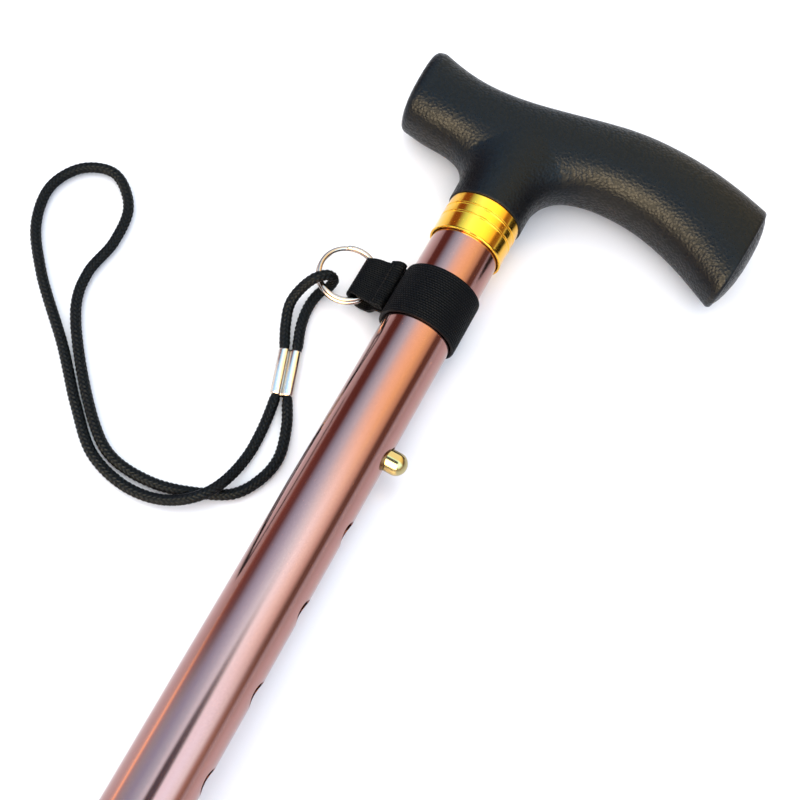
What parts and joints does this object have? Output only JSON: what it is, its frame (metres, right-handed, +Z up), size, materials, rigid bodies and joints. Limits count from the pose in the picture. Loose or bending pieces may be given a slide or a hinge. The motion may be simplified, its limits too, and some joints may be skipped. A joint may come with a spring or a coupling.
{
  "type": "single point cane",
  "caption": "Walking cane with a T-shaped handle, a telescoping tube set by a snap button and a lock nut, a rubber tip and a wrist cord on a webbing strap.",
  "frame": {"origin": "on the floor, under the middle of the cane as it lies on its side", "axes": "+Y up the shaft from the rubber tip to the handle, +X towards the handle's long arm and the snap button, +Z up from the floor that the cane lies on"},
  "size_m": [0.2056, 0.786, 0.035],
  "materials": {
    "black_grip": "moulded, fine leather-like pebble grain, satin",
    "gold_collar": "bright gold, polished, two fine turned grooves",
    "bronze_tube": "anodised bronze, glossy, drawn lengthwise",
    "brass_button": "polished",
    "steel": "plain zinc-plated steel",
    "black_nylon": "moulded nylon, satin",
    "black_rubber": "moulded rubber, matt",
    "black_webbing": "ribbed elastic webbing",
    "black_cord": "braided polyester cord",
    "nickel": "bright nickel plate"
  },
  "bodies": {
    "root": {"handle_grip": "black_grip", "handle_pin": "steel", "collar": "gold_collar", "upper_tube": "bronze_tube", "collet_sleeve": "black_nylon"},
    "lower_shaft": {"lower_tube": "bronze_tube", "glide_plug": "black_nylon", "button_spring": "steel", "rubber_tip": "black_rubber", "tip_washer": "steel"},
    "button": {"snap_button": "brass_button"},
    "nut": {"lock_nut": "black_nylon"},
    "strap": {"strap_band": "black_webbing", "strap_tab": "black_webbing"},
    "ring": {"split_ring": "nickel", "wrist_cord": "black_cord", "cord_crimp": "nickel"}
  },
  "joints": [
    {"name": "height_slide", "type": "slide", "parent": "root", "child": "lower_shaft", "axis": [0, -1, 0.0064], "range_m": [0, 0.1524]},
    {"name": "button_press", "type": "slide", "parent": "lower_shaft", "child": "button", "axis": [-1, 0, 0], "range_m": [0, 0.0072], "stiffness_N_per_m": 600, "deforming": ["button_spring"]},
    {"name": "lock_nut_turn", "type": "hinge", "parent": "root", "child": "nut", "pos_m": [-0.02, -0.1279, 0.0158], "axis": [0, 1, -0.0064], "range_deg": [0, 180]},
    {"name": "strap_swivel", "type": "hinge", "parent": "root", "child": "strap", "pos_m": [-0.02, 0.30349, 0.01302], "axis": [0, 1, -0.0064], "continuous": true},
    {"name": "ring_swing", "type": "hinge", "parent": "strap", "child": "ring", "pos_m": [-0.0409, 0.30509, 0.0055], "axis": [0, 1, -0.0064], "range_deg": [0, 20]}
  ]
}
